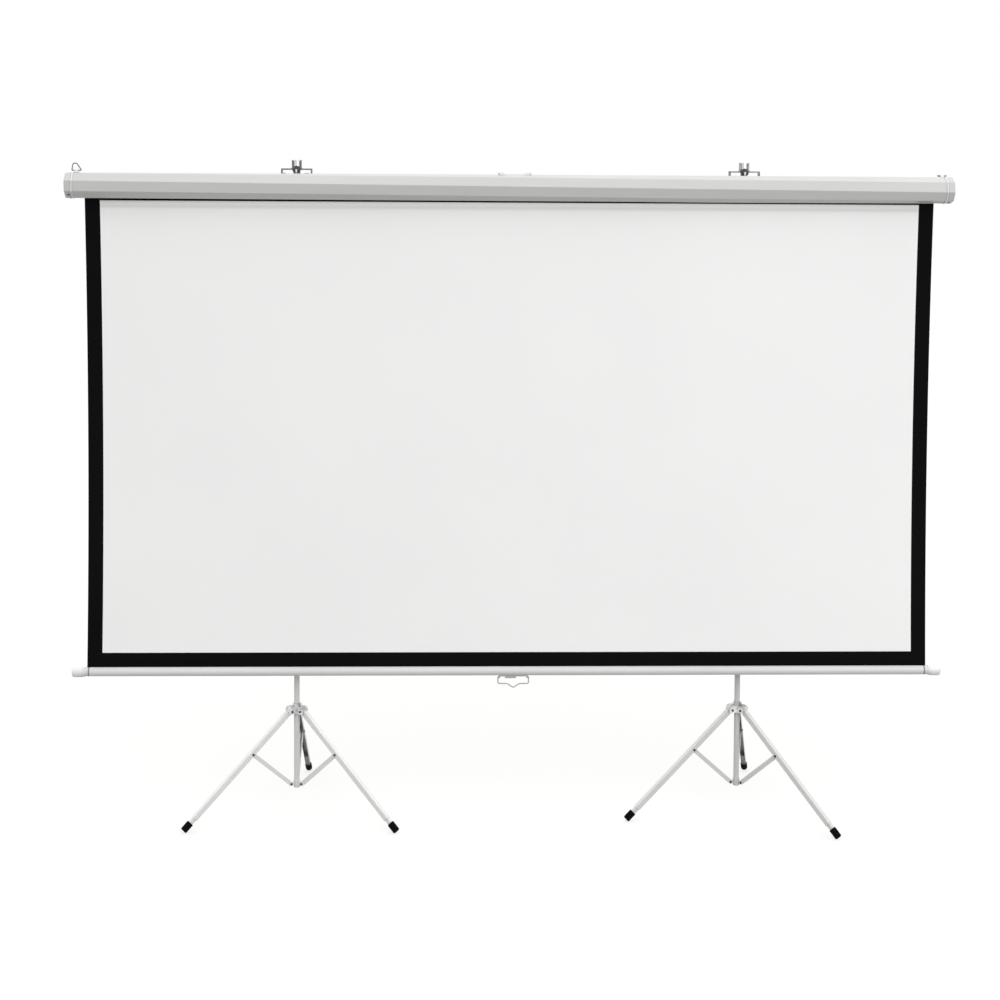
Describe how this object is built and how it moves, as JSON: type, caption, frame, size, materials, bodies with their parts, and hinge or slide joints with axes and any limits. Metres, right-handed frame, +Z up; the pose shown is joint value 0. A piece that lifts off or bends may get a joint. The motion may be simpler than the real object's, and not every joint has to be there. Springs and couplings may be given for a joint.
{
  "type": "pull-down projection screen",
  "caption": "Pull-down projection screen in an octagonal white case with black-bordered white fabric, a wire pull handle and folding tripod stands.",
  "frame": {"origin": "on the floor, under the middle of the case's length and the middle of the depth", "axes": "+X along the case to the viewer's right, +Y from the white face to the back, +Z up"},
  "size_m": [2.386, 0.569, 1.797],
  "materials": {
    "case_paint": "satin white paint",
    "cap_plastic": "white moulding",
    "moulded_inside": "grey moulding",
    "dark_steel": "blackened",
    "bright_steel": "bright plated",
    "spring_steel": "oiled",
    "roller_metal": "mill finish",
    "screen_white": "matte white, black borders",
    "bar_paint": "white painted",
    "bar_cap_plastic": "white moulding",
    "pull_wire": "white coated",
    "mast_metal": "plated tube",
    "stand_paint": "light grey-white paint",
    "spider_metal": "light grey-white paint",
    "hub_metal": "bright plated casting",
    "rivet_steel": "dark heads",
    "black_plastic": "black moulding",
    "foot_rubber": "black"
  },
  "bodies": {
    "case": {"case_shell": "case_paint", "end_cap_left": "cap_plastic", "end_cap_right": "cap_plastic", "end_cap_screws": "dark_steel", "roller_brackets": "moulded_inside", "spring_shaft": "spring_steel", "torsion_spring": "spring_steel", "screen_fabric": "screen_white", "hook_bracket_left": "bright_steel", "hook_bracket_right": "bright_steel", "hook_screws": "bright_steel", "clamp_screws": "dark_steel", "mast_left": "mast_metal", "mast_right": "mast_metal", "bail_eyes": "bright_steel"},
    "roller": {"roller_tube": "roller_metal", "roller_plug_left": "moulded_inside", "roller_plug_right": "moulded_inside", "fabric_wraps": "screen_white"},
    "bar": {"bottom_bar": "bar_paint", "bar_cap_left": "bar_cap_plastic", "bar_cap_right": "bar_cap_plastic", "hem_rod": "spring_steel", "handle_clip": "pull_wire"},
    "pull": {"pull_handle": "pull_wire"},
    "ring_left": {"hanger_ring_left": "bright_steel"},
    "ring_right": {"hanger_ring_right": "bright_steel"},
    "carry": {"carry_handle": "bright_steel"},
    "left_post": {"left_stand_post": "stand_paint", "left_stand_spider": "spider_metal", "left_stand_spider_pins": "rivet_steel", "left_stand_collar": "black_plastic"},
    "left_knob": {"left_stand_knob": "black_plastic"},
    "left_hub": {"left_stand_hub": "hub_metal", "left_stand_hub_pins": "rivet_steel"},
    "left_leg_rear": {"left_stand_leg_rear": "stand_paint", "left_stand_foot_rear": "foot_rubber"},
    "left_brace_rear": {"left_stand_brace_rear": "stand_paint"},
    "left_leg_right": {"left_stand_leg_right": "stand_paint", "left_stand_foot_right": "foot_rubber"},
    "left_brace_right": {"left_stand_brace_right": "stand_paint"},
    "left_leg_left": {"left_stand_leg_left": "stand_paint", "left_stand_foot_left": "foot_rubber"},
    "left_brace_left": {"left_stand_brace_left": "stand_paint"},
    "right_post": {"right_stand_post": "stand_paint", "right_stand_spider": "spider_metal", "right_stand_spider_pins": "rivet_steel", "right_stand_collar": "black_plastic"},
    "right_knob": {"right_stand_knob": "black_plastic"},
    "right_hub": {"right_stand_hub": "hub_metal", "right_stand_hub_pins": "rivet_steel"},
    "right_leg_rear": {"right_stand_leg_rear": "stand_paint", "right_stand_foot_rear": "foot_rubber"},
    "right_brace_rear": {"right_stand_brace_rear": "stand_paint"},
    "right_leg_right": {"right_stand_leg_right": "stand_paint", "right_stand_foot_right": "foot_rubber"},
    "right_brace_right": {"right_stand_brace_right": "stand_paint"},
    "right_leg_left": {"right_stand_leg_left": "stand_paint", "right_stand_foot_left": "foot_rubber"},
    "right_brace_left": {"right_stand_brace_left": "stand_paint"}
  },
  "joints": [
    {"name": "screen_pull", "type": "slide", "parent": "case", "child": "bar", "axis": [0, 0, 1], "range_m": [0, 1.259], "deforming": ["screen_fabric"]},
    {"name": "roller_turn", "type": "hinge", "parent": "case", "child": "roller", "pos_m": [0, -0.11722, 1.725], "axis": [1, 0, 0], "range_deg": [0, 3715]},
    {"name": "pull_swing", "type": "hinge", "parent": "bar", "child": "pull", "pos_m": [0, -0.09959, 0.3885], "axis": [1, 0, 0], "range_deg": [-80, 80]},
    {"name": "ring_left_fold", "type": "hinge", "parent": "case", "child": "ring_left", "pos_m": [-1.1645, -0.10922, 1.7646], "axis": [1, 0, 0], "range_deg": [-97, 97]},
    {"name": "ring_right_fold", "type": "hinge", "parent": "case", "child": "ring_right", "pos_m": [1.1645, -0.10922, 1.7646], "axis": [1, 0, 0], "range_deg": [0, 194]},
    {"name": "carry_fold", "type": "hinge", "parent": "case", "child": "carry", "pos_m": [0, -0.10922, 1.7646], "axis": [1, 0, 0], "range_deg": [0, 194]},
    {"name": "left_height", "type": "slide", "parent": "case", "child": "left_post", "axis": [0, 0, 1], "range_m": [-0.34, 0.12]},
    {"name": "left_knob_turn", "type": "hinge", "parent": "left_post", "child": "left_knob", "pos_m": [-0.584, -0.03572, 1.006], "axis": [0, 1, 0], "range_deg": [0, 540]},
    {"name": "left_fold", "type": "hinge", "parent": "left_post", "child": "left_brace_rear", "pos_m": [-0.58369, -0.03122, 0.07865], "axis": [0.9998, -0.0175, 0], "range_deg": [0, 48]},
    {"name": "left_leg_rear_fold", "type": "hinge", "parent": "left_brace_rear", "child": "left_leg_rear", "pos_m": [-0.58171, 0.08172, 0.18035], "axis": [-0.9998, 0.0175, 0], "range_deg": [0, 96]},
    {"name": "left_hub_rise", "type": "hinge", "parent": "left_leg_rear", "child": "left_hub", "pos_m": [-0.58369, -0.03122, 0.28206], "axis": [0.9998, -0.0175, 0], "range_deg": [0, 48]},
    {"name": "left_brace_right_fold", "type": "hinge", "parent": "left_post", "child": "left_brace_right", "pos_m": [-0.56857, -0.05849, 0.07865], "axis": [-0.515, -0.8572, 0], "range_deg": [0, 48]},
    {"name": "left_leg_right_fold", "type": "hinge", "parent": "left_brace_right", "child": "left_leg_right", "pos_m": [-0.47175, -0.11667, 0.18035], "axis": [0.515, 0.8572, 0], "range_deg": [0, 96]},
    {"name": "left_brace_left_fold", "type": "hinge", "parent": "left_post", "child": "left_brace_left", "pos_m": [-0.59974, -0.05794, 0.07865], "axis": [-0.4848, 0.8746, 0], "range_deg": [0, 48]},
    {"name": "left_leg_left_fold", "type": "hinge", "parent": "left_brace_left", "child": "left_leg_left", "pos_m": [-0.69854, -0.11271, 0.18035], "axis": [0.4848, -0.8746, 0], "range_deg": [0, 96]},
    {"name": "right_height", "type": "slide", "parent": "case", "child": "right_post", "axis": [0, 0, 1], "range_m": [-0.34, 0.12]},
    {"name": "right_knob_turn", "type": "hinge", "parent": "right_post", "child": "right_knob", "pos_m": [0.636, -0.03572, 1.006], "axis": [0, 1, 0], "range_deg": [0, 540]},
    {"name": "right_fold", "type": "hinge", "parent": "right_post", "child": "right_brace_rear", "pos_m": [0.64036, -0.03175, 0.07865], "axis": [0.9703, -0.2419, 0], "range_deg": [0, 48]},
    {"name": "right_leg_rear_fold", "type": "hinge", "parent": "right_brace_rear", "child": "right_leg_rear", "pos_m": [0.66768, 0.07785, 0.18035], "axis": [-0.9703, 0.2419, 0], "range_deg": [0, 96]},
    {"name": "right_hub_rise", "type": "hinge", "parent": "right_leg_rear", "child": "right_hub", "pos_m": [0.64036, -0.03175, 0.28206], "axis": [0.9703, -0.2419, 0], "range_deg": [0, 48]},
    {"name": "right_brace_right_fold", "type": "hinge", "parent": "right_post", "child": "right_brace_right", "pos_m": [0.64895, -0.06172, 0.07865], "axis": [-0.6947, -0.7193, 0], "range_deg": [0, 48]},
    {"name": "right_leg_right_fold", "type": "hinge", "parent": "right_brace_right", "child": "right_leg_right", "pos_m": [0.7302, -0.14019, 0.18035], "axis": [0.6947, 0.7193, 0], "range_deg": [0, 96]},
    {"name": "right_brace_left_fold", "type": "hinge", "parent": "right_post", "child": "right_brace_left", "pos_m": [0.6187, -0.05418, 0.07865], "axis": [-0.2756, 0.9613, 0], "range_deg": [0, 48]},
    {"name": "right_leg_left_fold", "type": "hinge", "parent": "right_brace_left", "child": "right_leg_left", "pos_m": [0.51011, -0.08532, 0.18035], "axis": [0.2756, -0.9613, 0], "range_deg": [0, 96]}
  ],
  "couplings": [
    {"joint": "roller_turn", "follows": "screen_pull", "rad_per_m": 51.487},
    {"joint": "right_height", "follows": "left_height", "ratio": 1},
    {"joint": "left_leg_rear_fold", "follows": "left_fold", "ratio": 2},
    {"joint": "left_hub_rise", "follows": "left_fold", "ratio": 1},
    {"joint": "left_brace_right_fold", "follows": "left_fold", "ratio": 1},
    {"joint": "left_leg_right_fold", "follows": "left_fold", "ratio": 2},
    {"joint": "left_brace_left_fold", "follows": "left_fold", "ratio": 1},
    {"joint": "left_leg_left_fold", "follows": "left_fold", "ratio": 2},
    {"joint": "right_leg_rear_fold", "follows": "right_fold", "ratio": 2},
    {"joint": "right_hub_rise", "follows": "right_fold", "ratio": 1},
    {"joint": "right_brace_right_fold", "follows": "right_fold", "ratio": 1},
    {"joint": "right_leg_right_fold", "follows": "right_fold", "ratio": 2},
    {"joint": "right_brace_left_fold", "follows": "right_fold", "ratio": 1},
    {"joint": "right_leg_left_fold", "follows": "right_fold", "ratio": 2}
  ]
}
